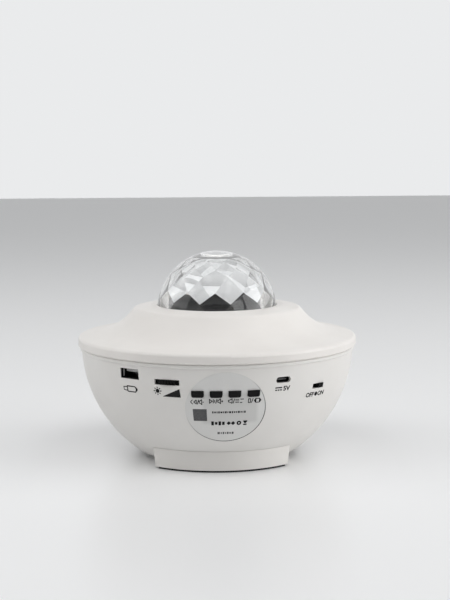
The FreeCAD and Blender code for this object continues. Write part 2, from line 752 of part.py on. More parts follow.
def laser_holder():
    x, y = LASER_AT
    collar = tube(8.0, 6.05, 61.0, DECK_LOW, x, y)
    fins = []
    for k in range(5):
        angle = -110 + 35 * k
        fin = block((7.6, 11.5), (-0.6, 0.6), (61.0, DECK_LOW))
        fin.rotate(ORIGIN, UP, angle)
        fin.translate(Vector(x, y, 0))
        fins.append(fin)
    return collar.fuse(fins).removeSplitter()


def led_heatsink():
    plate = rod(9.7, 64.4, 66.0)
    fins = [block((-9.0, 9.0), (y - 0.5, y + 0.5), (57.0, 64.4)) for y in (-6.6, -3.3, 0.0, 3.3, 6.6)]
    fins = [fin.common(rod(9.7, 50, 70)) for fin in fins]
    return plate.fuse(fins).removeSplitter()


def led_board():
    board = rod(9.4, 66.0, 67.4)
    emitter = rod(3.2, 67.4, 68.2)
    dome = Part.makeSphere(2.4, Vector(0, 0, 68.2), UP, 0, 90, 360)
    return board.fuse([emitter, dome]).removeSplitter()


def condenser_lens():
    """Plano-convex lens, the convex side up."""
    rim = rod(8.0, 71.6, 72.6)
    radius = 12.0
    sagitta = radius - math.sqrt(radius ** 2 - 8.0 ** 2)
    cap = Part.makeSphere(radius, Vector(0, 0, 72.6 + sagitta - radius)).common(rod(8.0, 72.6, 80))
    return rim.fuse(cap).removeSplitter()


def lens_holder():
    body = tube(9.6, 8.05, 67.4, DECK_LOW)
    ledge = tube(9.0, 7.0, 70.4, 71.6)
    return body.fuse(ledge).removeSplitter()


# ---------------------------------------------------------------- board and what sits on it

def main_board():
    board = rod(BOARD_R, BOARD_LOW, BOARD_HIGH)
    board = board.common(block((-80, 80), (-80, BOARD_CHORD_Y), (BOARD_LOW, BOARD_HIGH)))
    cuts = []
    wheel = on_ring(WHEEL_RADIAL, BRIGHTNESS[0])
    cuts.append(rod(WHEEL_R + 0.6, 40, 60, wheel.x, wheel.y))
    for azimuth in LID_SCREW_AZIMUTHS[:2]:
        place = on_ring(LID_SCREW_R, azimuth)
        cuts.append(rod(5.0, 40, 60, place.x, place.y))
    for x, y in BOARD_SCREWS:
        cuts.append(rod(SCREW_R + 0.2, 40, 60, x, y))
    return board.cut(cuts).removeSplitter()


def usb_a_socket():
    """Folded steel shell, level with the wall, with a spring in each side and two legs."""
    z = USB_A[1]
    half_w, half_h = USB_A_SHELL[0] / 2, USB_A_SHELL[1] / 2
    back = USB_A_FRONT - 14.2
    outer = rear_block(2 * half_w, (back, USB_A_FRONT), (z - half_h, z + half_h))
    mouth_w, mouth_h = half_w - USB_A_SHEET, half_h - USB_A_SHEET
    inner = rear_block(2 * mouth_w, (back + USB_A_SHEET, 90), (z - mouth_h, z + mouth_h))
    extras = []
    for side in (-1, 1):
        x = sorted((side * mouth_w, side * (mouth_w - 0.25)))
        extras.append(block(x, (3.3 - USB_A_FRONT, 3.9 - USB_A_FRONT), (z - 2.1, z + 2.1)))
        leg_x = side * (half_w - 0.6)
        extras.append(block((leg_x - 0.6, leg_x + 0.6), (-72, -69), (BOARD_HIGH, z - mouth_h)))
    return turned(outer.cut(inner).fuse(extras).removeSplitter(), USB_A[0])


def usb_a_tongue():
    z = USB_A[1]
    back = USB_A_FRONT - 14.2 + USB_A_SHEET
    plate = rear_block(11.1, (back, USB_A_FRONT - 3.6), (z + 0.5, z + 2.34))
    root = rear_block(12.4, (back, back + 2.0), (z - 2.5, z + 2.5))
    return turned(plate.fuse(root).removeSplitter(), USB_A[0])


def usb_c_socket():
    outer = usb_c_form(-0.1, (70.8, 79.4))
    inner = usb_c_form(-0.42, (71.6, 81))
    leg = block((-4.2, 4.2), (-74, -71), (BOARD_HIGH, USB_C[1] - 1.4))
    return turned(outer.fuse(leg).cut(inner).removeSplitter(), USB_C[0])


def usb_c_tongue():
    z = USB_C[1]
    plate = rear_block(6.7, (71.6, 78.4), (z - 0.35, z + 0.35))
    return turned(plate, USB_C[0])


def brightness_wheel():
    centre = on_ring(WHEEL_RADIAL, BRIGHTNESS[0])
    z = BRIGHTNESS[1] - WHEEL_THICK / 2
    ridges = 30
    corners = []
    for k in range(ridges):
        for share, radius in ((0.0, WHEEL_R), (0.5, WHEEL_R), (0.75, WHEEL_R - 0.55)):
            angle = 2 * math.pi * (k + share) / ridges
            corners.append(centre + Vector(radius * math.cos(angle), radius * math.sin(angle), z))
    wheel = Part.Face(Part.makePolygon(corners + [corners[0]])).extrude(Vector(0, 0, WHEEL_THICK))
    return wheel.cut(rod(1.2 + RUNNING, 40, 70, centre.x, centre.y)).removeSplitter()


def pot_body():
    z = BRIGHTNESS[1] + WHEEL_THICK / 2 + 0.3
    case = rear_block(9.0, (60.0, 75.6), (z, z + 2.6))
    leg = rear_block(9.0, (59.4, 61.8), (BOARD_HIGH, z + 2.6))
    pin = rod(1.2, BRIGHTNESS[1] - 1.6, z + 1, 0, -WHEEL_RADIAL)
    return turned(case.fuse([leg, pin]).removeSplitter(), BRIGHTNESS[0])


def button_cap():
    """A cap that follows the wall's curve, with a collar behind the wall and a plunger."""
    cap = button_form(0, (75.4, 86.0)).common(bowl_body(-BUTTON_PROUD, 30, 63))
    collar = rear_block(8.6, (74.8, 76.0), (BUTTON_Z - 2.7, BUTTON_Z + 2.6))
    plunger = rear_block(2.6, (72.4, 75.0), (BUTTON_Z - 1.0, BUTTON_Z + 1.0))
    return cap.fuse([collar, plunger]).removeSplitter()


def tact_switches():
    switches = []
    for azimuth in BUTTONS.values():
        case = rear_block(6.0, (66.2, 70.6), (BUTTON_Z - 1.9, BOARD_LOW))
        stem = rear_block(2.2, (70.0, 71.7), (BUTTON_Z - 0.9, BUTTON_Z + 0.9))
        switches.append(turned(case.fuse(stem).removeSplitter(), azimuth))
    return switches


def switch_knob():
    """Stored at ON, the right end of its slot; it slides to the left to OFF."""
    z = SWITCH[1]
    offset = SWITCH_TRAVEL / 2
    grip = rear_block(KNOB_W, (77.0, 86.0), (z - KNOB_H / 2, z + KNOB_H / 2))
    grip.translate(Vector(offset, 0, 0))
    grip = grip.common(bowl_body(-1.0, 30, 63))
    groove = block((offset - 0.3, offset + 0.3), (-90, -80.6), (z - 2, z + 2))
    stem = rear_block(1.8, (73.2, 78.0), (z - 0.8, z + 0.8))
    stem.translate(Vector(offset, 0, 0))
    return turned(grip.cut(groove).fuse(stem).removeSplitter(), SWITCH[0])


def slide_switch_body():
    z = SWITCH[1]
    case = rear_block(9.6, (69.4, 75.2), (z - 1.9, BOARD_LOW))
    track = rear_block(1.8 + SWITCH_TRAVEL + 0.4, (72.8, 76), (z - 0.95, z + 0.95))
    return turned(case.cut(track).removeSplitter(), SWITCH[0])


# chips: place, width, depth and height; capacitors: place, radius and height
CHIPS = ((-13, -58, 8, 8, 1.4), (5, -36, 10, 7, 1.6), (38, -30, 5, 6, 1.4), (16, -64, 5, 5, 1.2))
CAPACITORS = ((-38, -32, 3.2, 8.0), (46, -48, 3.2, 8.0), (-6, -66, 2.5, 6.0))


def board_chips():
    chips = []
    for x, y, w, d, h in CHIPS:
        chips.append(block((x - w / 2, x + w / 2), (y - d / 2, y + d / 2), (BOARD_HIGH, BOARD_HIGH + h)))
    return chips


def capacitors():
    cans = []
    low = BOARD_HIGH
    for x, y, radius, height in CAPACITORS:
        groove = tube(radius + 1, radius - 0.3, low + 1, low + 1.6, x, y)
        cans.append(rod(radius, low, low + height, x, y).cut(groove))
    return cans


# name of the lead: connector's place on the board and whether it hangs below the board
CONNECTORS = {
    "motor": (-14.0, -29.0, True),
    "led": (16.0, -29.0, False),
    "laser": (26.0, -29.0, False),
    "speaker": (-27.0, -27.5, True),
}
PLUG_W = 5.0
PLUG_D = 5.0
PLUG_H = 6.0


def board_connectors():
    plugs = []
    for x, y, below in CONNECTORS.values():
        z = (BOARD_LOW - PLUG_H, BOARD_LOW) if below else (BOARD_HIGH, BOARD_HIGH + PLUG_H)
        plugs.append(block((x - PLUG_W / 2, x + PLUG_W / 2), (y - PLUG_D / 2, y + PLUG_D / 2), z))
    return plugs


# ---------------------------------------------------------------- loudspeaker

SPEAKER_FACE = DISC_HIGH
BASKET_R = 19.3
CONE_R = 16.9
SPEAKER_SCREW_R = 23.2
SPEAKER_SCREW_AZIMUTHS = (0.0, 90.0, 180.0, 270.0)


def speaker_frame():
    z = SPEAKER_FACE
    basket = spun_polygon([
        (BASKET_R, z), (25.6, z), (25.6, z + 1.4), (20.6, z + 1.4), (20.0, z + 4.0), (15.6, z + 9.4),
        (15.0, z + 9.4), (15.0, z + 10.0), (7.3, z + 10.0), (7.3, z + 8.9), (14.6, z + 8.9),
        (19.0, z + 3.6), (BASKET_R, z + 2.6),
    ])
    cuts = []
    for azimuth in (30.0, 120.0, 210.0, 255.0, 345.0):
        cuts.append(turned(rear_block(9.0, (15.2, 19.9), (z + 4.0, z + 8.6)), azimuth))
    for azimuth in SPEAKER_SCREW_AZIMUTHS:
        place = on_ring(SPEAKER_SCREW_R, azimuth)
        cuts.append(rod(SMALL_SCREW_R + 0.2, 0, 20, place.x, place.y))
    terminal = turned(rear_block(7.0, (16.4, 20.5), (z + 5.4, z + 8.6)), -60.0)
    return basket.cut(cuts).fuse(terminal).removeSplitter()


def speaker_magnet():
    z = SPEAKER_FACE + 10.0
    plate = tube(14.0, 7.3, z, z + 1.2)
    magnet = tube(15.0, 8.0, z + 1.2, z + 5.4)
    back = rod(13.4, z + 5.4, z + 6.8)
    pole = rod(5.1, z, z + 5.4)
    return plate.fuse([magnet, back, pole]).removeSplitter()


def speaker_cone():
    """Paper cone with its dust cap, and the former of the voice coil in the magnet's gap."""
    z = SPEAKER_FACE
    return spun_polygon([
        (16.4, z + 1.7), (CONE_R, z + 1.9), (CONE_R, z + 2.3), (6.5, z + 8.0), (6.5, z + 13.0),
        (5.9, z + 13.0), (5.9, z + 7.2), (5.4, z + 6.9), (3.0, z + 6.1), (0, z + 5.8),
        (0, z + 5.3), (3.2, z + 5.6), (5.8, z + 6.4), (6.4, z + 7.2),
    ])


def speaker_surround():
    """The half-roll of foam between the cone's rim and the frame."""
    z = SPEAKER_FACE + 2.35
    inner, outer = CONE_R, BASKET_R
    middle, roll = 17.95, 0.75
    under = z - 0.35
    return spun([
        line((inner, z), (middle - roll, z)),
        arc((middle - roll, z), (middle, z + roll), (middle + roll, z)),
        line((middle + roll, z), (outer, z)),
        line((outer, z), (outer, under)),
        line((outer, under), (middle + 0.4, under)),
        arc((middle + 0.4, under), (middle, under + 0.7), (middle - 0.4, under)),
        line((middle - 0.4, under), (inner, under)),
        line((inner, under), (inner, z)),
    ])


# ---------------------------------------------------------------- label

def label_film():
    """Round film on the rear wall; the upper part has cut-outs for the four buttons."""
    tilt = math.asin((BOWL_CENTRE_Z - LABEL_Z) / BOWL_ARC)
    middle = Vector(0, -bowl_radius(LABEL_Z), LABEL_Z)
    outward = Vector(0, -math.cos(tilt), -math.sin(tilt))
    punch = Part.makeCylinder(LABEL_R, 20, middle - outward * 10, outward)
    sheet = bowl_body(-LABEL_THICK, 10, BOWL_TOP - 0.1).cut(bowl_body(0, 9, BOWL_TOP))
    cuts = [turned(button_form(CLEAR + 0.1, (70, 90)), azimuth) for azimuth in BUTTONS.values()]
    return sheet.common(turned(punch, LABEL_AZIMUTH)).cut(cuts).removeSplitter()


# ---------------------------------------------------------------- leads

# name: radius and the points of the route
LEADS = {
    "motor_lead": (0.8, [
        (-2.9, 27.0, 57.0), (-2.9, 27.0, 46.0), (-6.0, 14.0, 34.0), (-10.0, -4.0, 29.0),
        (-13.0, -20.0, 28.0), (-14.0, -29.0, 34.0), (-14.0, -29.0, 46.9),
    ]),
    "speaker_lead": (0.8, [
        (-17.77, -10.26, 12.5), (-27.7, -16.0, 12.5), (-30.0, -24.5, 22.0),
        (-27.0, -27.5, 34.0), (-27.0, -27.5, 46.9),
    ]),
    "led_lead": (0.6, [
        (0.0, -9.4, 66.7), (0.0, -15.4, 66.7), (4.5, -22.5, 68.5), (11.5, -27.5, 70.0),
        (16.0, -29.0, 66.5), (16.0, -29.0, 60.5),
    ]),
    "laser_lead": (0.6, [
        (17.75, -6.5, 55.6), (17.75, -6.5, 49.6), (18.8, -8.2, 44.5), (22.0, -12.5, 43.5),
        (25.0, -17.0, 48.5), (26.0, -20.5, 57.5), (26.0, -26.5, 57.5),
    ]),
}


def lead(radius, points):
    """A round lead along straight runs joined by tangent arcs."""
    corners = [Vector(*point) for point in points]
    edges = []
    start = corners[0]
    for before, corner, after in zip(corners, corners[1:], corners[2:]):
        back, ahead = before - corner, after - corner
        shorter = min(back.Length, ahead.Length)
        back.normalize()
        ahead.normalize()
        half_turn = (math.pi - back.getAngle(ahead)) / 2
        reach = 0.45 * shorter
        bend = reach / math.tan(half_turn)
        print("  bend radius", round(bend, 1))
        entry, leave = corner + back * reach, corner + ahead * reach
        inward = back + ahead
        inward.normalize()
        middle = corner + inward * (bend / math.cos(half_turn) - bend)
        edges.append(Part.makeLine(start, entry))
        edges.append(Part.Arc(entry, middle, leave).toShape())
        start = leave
    edges.append(Part.makeLine(start, corners[-1]))
    path = Part.Wire(edges)
    direction = corners[1] - corners[0]
    section = Part.Wire(Part.makeCircle(radius, corners[0], direction))
    swept = path.makePipeShell([section], True, False)
    straight_volume = math.pi * radius ** 2 * path.Length
    print("  length", round(path.Length, 1), "volume ratio", round(swept.Volume / straight_volume, 3))
    return swept


# ---------------------------------------------------------------- screws

def lid_screws():
    places = [on_ring(LID_SCREW_R, azimuth) for azimuth in LID_SCREW_AZIMUTHS]
    return [screw(place.x, place.y, LID_SCREW_SEAT, 11.0, SCREW_R, 2.6, 1.8) for place in places]


def base_screws():
    places = [on_ring(BASE_SCREW_R, azimuth) for azimuth in BASE_SCREW_AZIMUTHS]
    return [screw(place.x, place.y, DISC_LOW, 8.0, SCREW_R, 2.4, 1.5) for place in places]


def deck_screws():
    places = [on_ring(DECK_SCREW_R, azimuth) for azimuth in DECK_SCREW_AZIMUTHS]
    return [screw(place.x, place.y, DECK_LOW, 7.0, SMALL_SCREW_R, 1.9, 1.3) for place in places]


def cover_screws():
    places = [on_ring(DECK_SCREW_R, azimuth) for azimuth in COVER_SCREW_AZIMUTHS]
    return [screw(place.x, place.y, COVER_LOW, 4.6, SMALL_SCREW_R, 1.7, 1.0) for place in places]


def motor_screws():
    x, y = PINION_AT
    return [
        screw(x + side * MOTOR_SCREW_REACH, y, DECK_HIGH, 4.6, SMALL_SCREW_R, 1.7, 1.0, upward=False)
        for side in (-1, 1)
    ]


def speaker_screws():
    places = [on_ring(SPEAKER_SCREW_R, azimuth) for azimuth in SPEAKER_SCREW_AZIMUTHS]
    seat = SPEAKER_FACE + 1.4
    length = seat - DISC_LOW - 0.3
    return [screw(p.x, p.y, seat, length, SMALL_SCREW_R, 1.7, 1.0, upward=False) for p in places]


def board_screws():
    return [screw(x, y, BOARD_HIGH, 8.0, SCREW_R, 2.5, 1.6, upward=False) for x, y in BOARD_SCREWS]


save("lower_shell", lower_shell())
save("upper_shell", upper_shell())
save("crystal_dome", crystal_dome())
save("base_stand", base_stand())
save("foot_pads", *foot_pads())
save("label_film", label_film())
save("optics_cover", optics_cover())
save("window_plate", window_plate())
save("deck_plate", deck_plate())
save("wheel_spindles", *wheel_spindles())
save("ripple_disc", ripple_disc())
save("grating_wheel", grating_wheel())
save("diffraction_grating", diffraction_grating())
save("motor_pinion", motor_pinion())
save("motor_shaft", motor_shaft())
save("drive_motor", drive_motor())
save("laser_module", laser_module())
save("laser_holder", laser_holder())
save("led_heatsink", led_heatsink())
save("led_board", led_board())
save("condenser_lens", condenser_lens())
save("lens_holder", lens_holder())
save("main_board", main_board())
save("board_chips", *board_chips())
save("capacitors", *capacitors())
save("board_connectors", *board_connectors())
save("usb_a_socket", usb_a_socket())
save("usb_a_tongue", usb_a_tongue())
save("usb_c_socket", usb_c_socket())
save("usb_c_tongue", usb_c_tongue())
save("brightness_wheel", brightness_wheel())
save("pot_body", pot_body())
for button, azimuth in BUTTONS.items():
    save(button, turned(button_cap(), azimuth))
save("tact_switches", *tact_switches())
save("switch_knob", switch_knob())
save("slide_switch_body", slide_switch_body())
save("speaker_frame", speaker_frame())
save("speaker_magnet", speaker_magnet())
save("speaker_cone", speaker_cone())
save("speaker_surround", speaker_surround())
save("lid_screws", *lid_screws())
save("base_screws", *base_screws())
save("deck_screws", *deck_screws())
save("cover_screws", *cover_screws())
save("board_screws", *board_screws())
save("motor_screws", *motor_screws())
save("speaker_screws", *speaker_screws())
for name, (radius, points) in LEADS.items():
    save(name, lead(radius, points))
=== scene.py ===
import math
import bpy
from mathutils import Matrix, Vector


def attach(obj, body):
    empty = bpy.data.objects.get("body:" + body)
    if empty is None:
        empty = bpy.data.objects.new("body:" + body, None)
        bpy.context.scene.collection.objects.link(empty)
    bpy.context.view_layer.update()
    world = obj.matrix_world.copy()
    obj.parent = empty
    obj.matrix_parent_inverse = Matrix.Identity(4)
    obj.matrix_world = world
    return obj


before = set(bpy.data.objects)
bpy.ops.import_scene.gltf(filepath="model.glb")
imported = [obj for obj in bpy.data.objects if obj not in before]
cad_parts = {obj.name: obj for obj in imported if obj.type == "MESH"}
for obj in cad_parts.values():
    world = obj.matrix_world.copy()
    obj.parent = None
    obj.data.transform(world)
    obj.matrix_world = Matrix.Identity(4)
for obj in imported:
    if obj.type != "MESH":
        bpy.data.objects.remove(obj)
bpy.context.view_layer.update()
mm = 0.001


def deselectAll():
    bpy.ops.object.select_all(action="DESELECT")


def makeActive(piece):
    deselectAll()
    piece.select_set(True)
    bpy.context.view_layer.objects.active = piece


def joinPieces(pieces, name):
    deselectAll()
    for piece in pieces:
        piece.select_set(True)
    bpy.context.view_layer.objects.active = pieces[0]
    if len(pieces) > 1:
        bpy.ops.object.join()
    joined = bpy.context.view_layer.objects.active
    joined.name = name
    joined.data.name = name
    return joined


def applyModifier(piece, kind, **settings):
    makeActive(piece)
    modifier = piece.modifiers.new(kind.title(), kind)
    for key, value in settings.items():
        setattr(modifier, key, value)
    bpy.ops.object.modifier_apply(modifier=modifier.name)


def editWhole(piece, operator, **settings):
    # runs a mesh operator in edit mode with the whole piece selected
    makeActive(piece)
    bpy.ops.object.mode_set(mode="EDIT")
    bpy.ops.mesh.select_all(action="SELECT")
    operator(**settings)
    bpy.ops.object.mode_set(mode="OBJECT")


# node helpers: a number or a colour is set on the socket, an output of another node is linked to it
def feed(links, socket, value):
    if isinstance(value, bpy.types.NodeSocket):
        links.new(value, socket)
    elif isinstance(value, tuple):
        socket.default_value = (*value, 1)
    else:
        socket.default_value = value


def feedAll(links, node, values):
    for name, value in values.items():
        feed(links, node.inputs[name], value)


def mathsNode(nodes, links, kind, first, second=0.0):
    node = nodes.new("ShaderNodeMath")
    node.operation = kind
    feed(links, node.inputs[0], first)
    feed(links, node.inputs[1], second)
    return node.outputs[0]


def blendLevels(nodes, links, factor, first, second):
    mix = nodes.new("ShaderNodeMix")
    feedAll(links, mix, {"Factor": factor, "A": first, "B": second})
    return mix.outputs["Result"]


def blendTones(nodes, links, factor, first, second):
    mix = nodes.new("ShaderNodeMix")
    mix.data_type = "RGBA"
    feedAll(links, mix, {"Factor": factor, "A": first, "B": second})
    return mix.outputs["Result"]


def spreadRange(nodes, links, value, low, high, start=0.0, end=1.0):
    spread = nodes.new("ShaderNodeMapRange")
    feedAll(links, spread, {"Value": value, "From Min": low, "From Max": high,
                            "To Min": start, "To Max": end})
    return spread.outputs["Result"]


def addNoise(nodes, links, place, scale, detail, roughness=0.5):
    noise = nodes.new("ShaderNodeTexNoise")
    feedAll(links, noise, {"Vector": place, "Scale": scale, "Detail": detail, "Roughness": roughness})
    return noise.outputs["Fac"]


def newPaint(name):
    paint = bpy.data.materials.new(name)
    paint.use_nodes = True
    return paint, paint.node_tree.nodes, paint.node_tree.links, paint.node_tree.nodes["Principled BSDF"]


# camera: where it stands, how far it looks down, and how it leans
camera = {
    "distance": 0.800,
    "height": 0.1858,
    "azimuth": -3.0,  # degrees from -Y towards +X
    "lookDown": 6.65,
    "lookRight": 0.35,
    "lean": 0.30,
    "lens": 79.6,
    "sensorWidth": 36,
    "farEnd": 20,
}


def buildCamera(spec):
    bpy.ops.object.camera_add()
    eye = bpy.context.object
    eye.name = "studioCamera"
    eye.data.lens = spec["lens"]
    eye.data.sensor_width = spec["sensorWidth"]
    eye.data.clip_end = spec["farEnd"]
    angle = math.radians(spec["azimuth"])
    aside = Vector((math.sin(angle), -math.cos(angle), 0)) * spec["distance"]
    place = aside + Vector((0, 0, spec["height"]))
    heading = Vector((-place.x, -place.y, 0)).normalized()
    heading.rotate(Matrix.Rotation(math.radians(-spec["lookRight"]), 3, "Z"))
    down = math.radians(spec["lookDown"])
    forward = heading * math.cos(down) - Vector((0, 0, math.sin(down)))
    right = forward.cross(Vector((0, 0, 1))).normalized()
    up = right.cross(forward)
    lean = math.radians(spec["lean"])
    leftLean, rightLean = up * math.sin(lean), right * math.sin(lean)
    right, up = right * math.cos(lean) - leftLean, up * math.cos(lean) + rightLean
    turn = Matrix((right, up, -forward)).transposed()
    eye.matrix_world = Matrix.Translation(place) @ turn.to_4x4()
    bpy.context.scene.camera = eye


buildCamera(camera)
print("camera placed")


# studio: a pale table under a dim sky, lamps overhead and on both sides
studio = {
    "tableSize": 8.0,
    "tableColor": (0.86, 0.864, 0.868),
    "tableRoughness": 0.30,
    "tableSpecular": 0.4,
    "skyColor": (0.98, 0.99, 1.0),
    "litSky": 0.13,  # the sky's strength as a light
    "seenSky": 0.84,  # as it is seen directly, or through both walls of the dome
    "skinSky": 0.55,  # as it is seen through one wall only
    "skinPasses": 2.0,  # how many faces light has passed there
    "deepPasses": 4.0,
    "mirroredNear": 0.10,  # as glossy faces mirror it on the viewer's side
    "mirroredFar": 1.00,  # and on the far side
    "skyTurn": 0.4,  # how far from the middle the two meet
    "lampSize": (1.2, 1.0),
    "lampAim": (0.0, 0.0, 0.06),
    "lamps": [  # name, place, watts
        ("leftTopLamp", (-0.75, -0.15, 1.20), 4.5),
        ("rightTopLamp", (0.75, -0.15, 1.20), 4.4),
        ("rightLowLamp", (1.45, -0.35, 0.42), 12.8),
        ("leftLamp", (-1.25, -0.10, 0.70), 5.0),
        ("frontTopLamp", (0.0, -0.70, 1.25), 5.1),
    ],
}


def addLamp(spec, name, place, watts):
    bpy.ops.object.light_add(type="AREA", location=place)
    lamp = bpy.context.object
    lamp.name = name
    lamp.data.shape = "RECTANGLE"
    lamp.data.size, lamp.data.size_y = spec["lampSize"]
    lamp.data.energy = watts
    aim = Vector(spec["lampAim"]) - Vector(place)
    lamp.rotation_euler = aim.to_track_quat("-Z", "Y").to_euler()


def buildTable(spec):
    bpy.ops.mesh.primitive_plane_add(size=spec["tableSize"], location=(0, 0, 0))
    table = bpy.context.object
    table.name = "studioTable"
    paint, nodes, links, shader = newPaint("tableTop")
    feedAll(links, shader, {"Base Color": spec["tableColor"], "Roughness": spec["tableRoughness"],
                            "Specular IOR Level": spec["tableSpecular"]})
    table.data.materials.append(paint)


def buildSky(spec):
    # the sky lights the object dimly; rays that only show it or mirror it get a level of their own
    world = bpy.data.worlds.new("studioWorld")
    bpy.context.scene.world = world
    world.use_nodes = True
    nodes, links = world.node_tree.nodes, world.node_tree.links
    nodes.clear()
    split = nodes.new("ShaderNodeSeparateXYZ")
    links.new(nodes.new("ShaderNodeTexCoord").outputs["Generated"], split.inputs["Vector"])
    mirrored = spreadRange(nodes, links, split.outputs["Y"], -spec["skyTurn"], spec["skyTurn"],
                           spec["mirroredNear"], spec["mirroredFar"])
    path = nodes.new("ShaderNodeLightPath")
    through = spreadRange(nodes, links, path.outputs["Transmission Depth"], spec["skinPasses"],
                          spec["deepPasses"], spec["skinSky"], spec["seenSky"])
    strength = blendLevels(nodes, links, path.outputs["Is Glossy Ray"], spec["litSky"], mirrored)
    strength = blendLevels(nodes, links, path.outputs["Is Transmission Ray"], strength, through)
    strength = blendLevels(nodes, links, path.outputs["Is Camera Ray"], strength, spec["seenSky"])
    background = nodes.new("ShaderNodeBackground")
    feedAll(links, background, {"Color": spec["skyColor"], "Strength": strength})
    links.new(background.outputs[0], nodes.new("ShaderNodeOutputWorld").inputs["Surface"])


def buildStudio(spec):
    buildTable(spec)
    for lamp in spec["lamps"]:
        addLamp(spec, *lamp)
    buildSky(spec)
    bpy.context.scene.view_settings.view_transform = "Standard"


buildStudio(studio)
print("studio lit")


# shared surface effects
def newGroup(name, inputs, outputs):
    group = bpy.data.node_groups.new(name, "ShaderNodeTree")
    for label, kind, value in inputs:
        group.interface.new_socket(name=label, in_out="INPUT", socket_type=kind).default_value = value
    for label, kind in outputs:
        group.interface.new_socket(name=label, in_out="OUTPUT", socket_type=kind)
    return group, group.nodes.new("NodeGroupInput"), group.nodes.new("NodeGroupOutput")


# spark-eroded mould texture: a fine bump, and gloss that drifts a little over the surface
grainLook = {
    "detail": 3,
    "bumpHeight": 0.0002,
    "driftScale": 45,
    "driftDetail": 4,
    "low": 0.3,
    "high": 0.7,
}


def buildMouldGrain(spec):
    group, entry, leave = newGroup(
        "mouldGrain",
        [("Scale", "NodeSocketFloat", 2600.0), ("Depth", "NodeSocketFloat", 0.05),
         ("Gloss Low", "NodeSocketFloat", 0.36), ("Gloss High", "NodeSocketFloat", 0.46)],
        [("Normal", "NodeSocketVector"), ("Roughness", "NodeSocketFloat")])
    nodes, links = group.nodes, group.links
    place = nodes.new("ShaderNodeTexCoord").outputs["Object"]
    fine = addNoise(nodes, links, place, entry.outputs["Scale"], spec["detail"])
    broad = addNoise(nodes, links, place, spec["driftScale"], spec["driftDetail"])
    bump = nodes.new("ShaderNodeBump")
    feedAll(links, bump, {"Strength": entry.outputs["Depth"], "Distance": spec["bumpHeight"], "Height": fine})
    gloss = spreadRange(nodes, links, broad, spec["low"], spec["high"],
                        entry.outputs["Gloss Low"], entry.outputs["Gloss High"])
    feedAll(links, leave, {"Normal": bump.outputs["Normal"], "Roughness": gloss})
    return group


# colour that drifts between two close tones, as moulded resin and handled plastic do
driftLook = {"detail": 5, "roughness": 0.6, "low": 0.35, "high": 0.65}


def buildToneDrift(spec):
    group, entry, leave = newGroup(
        "toneDrift",
        [("Light Tone", "NodeSocketColor", (0.8, 0.8, 0.8, 1)),
         ("Dark Tone", "NodeSocketColor", (0.7, 0.7, 0.7, 1)),
         ("Scale", "NodeSocketFloat", 30.0)],
        [("Color", "NodeSocketColor")])
    nodes, links = group.nodes, group.links
    place = nodes.new("ShaderNodeTexCoord").outputs["Object"]
    drift = addNoise(nodes, links, place, entry.outputs["Scale"], spec["detail"], spec["roughness"])
    share = spreadRange(nodes, links, drift, spec["low"], spec["high"])
    tone = blendTones(nodes, links, share, entry.outputs["Light Tone"], entry.outputs["Dark Tone"])
    links.new(tone, leave.inputs["Color"])
    return group


mouldGrain = buildMouldGrain(grainLook)
toneDrift = buildToneDrift(driftLook)


def addSkin(nodes, links, shader, scale=2600.0, depth=0.05, gloss=(0.36, 0.46)):
    skin = nodes.new("ShaderNodeGroup")
    skin.node_tree = mouldGrain
    feedAll(links, skin, {"Scale": scale, "Depth": depth, "Gloss Low": gloss[0], "Gloss High": gloss[1]})
    feedAll(links, shader, {"Roughness": skin.outputs["Roughness"], "Normal": skin.outputs["Normal"]})


def addGlow(nodes, links, shader, share, glow):
    # the share says where and for which rays the surface glows
    feedAll(links, shader, {"Emission Color": blendTones(nodes, links, share, (0, 0, 0), glow),
                            "Emission Strength": 1.0})


def moulded(name, light, dark, drift=30.0, grain=2600.0, depth=0.05, gloss=(0.36, 0.46),
            metallic=0.0, specular=0.5, lift=None):
    # moulded plastic or rubber, or plain metal: two tones, a grain and a gloss
    paint, nodes, links, shader = newPaint(name)
    tone = nodes.new("ShaderNodeGroup")
    tone.node_tree = toneDrift
    feedAll(links, tone, {"Light Tone": light, "Dark Tone": dark, "Scale": drift})
    feedAll(links, shader, {"Base Color": tone.outputs["Color"], "Metallic": metallic,
                            "Specular IOR Level": specular})
    addSkin(nodes, links, shader, grain, depth, gloss)
    if lift:
        # painted light: what is seen of this paint through the dome glows, standing in for lamp light that
        # reaches it only in part
        path = nodes.new("ShaderNodeLightPath")
        addGlow(nodes, links, shader, path.outputs["Is Transmission Ray"], lift)
    return paint


def clearAcrylic(name, tint, roughness, ior):
    paint, nodes, links, shader = newPaint(name)
    feedAll(links, shader, {"Base Color": tint, "Roughness": roughness, "IOR": ior,
                            "Transmission Weight": 1.0})
    return paint


# clear faceted dome; painted light: rays still caught between its facets after many bounces find it glowing
# pale
domeLook = {
    "tint": (0.99, 0.995, 0.995),
    "roughness": 0.01,
    "ior": 1.49,
    "glossyBounces": 3.5,
    "allBounces": 10.5,
    "paintedCaughtGlow": (0.13, 0.13, 0.13),
}


def facetedAcrylic(name, spec):
    paint = clearAcrylic(name, spec["tint"], spec["roughness"], spec["ior"])
    nodes, links = paint.node_tree.nodes, paint.node_tree.links
    path = nodes.new("ShaderNodeLightPath")
    glossy = mathsNode(nodes, links, "GREATER_THAN", path.outputs["Glossy Depth"], spec["glossyBounces"])
    late = mathsNode(nodes, links, "GREATER_THAN", path.outputs["Ray Depth"], spec["allBounces"])
    paintedCaughtGlow = mathsNode(nodes, links, "MAXIMUM", glossy, late)
    # painted light: the dome glows pale for these rays
    addGlow(nodes, links, nodes["Principled BSDF"], paintedCaughtGlow, spec["paintedCaughtGlow"])
    return paint
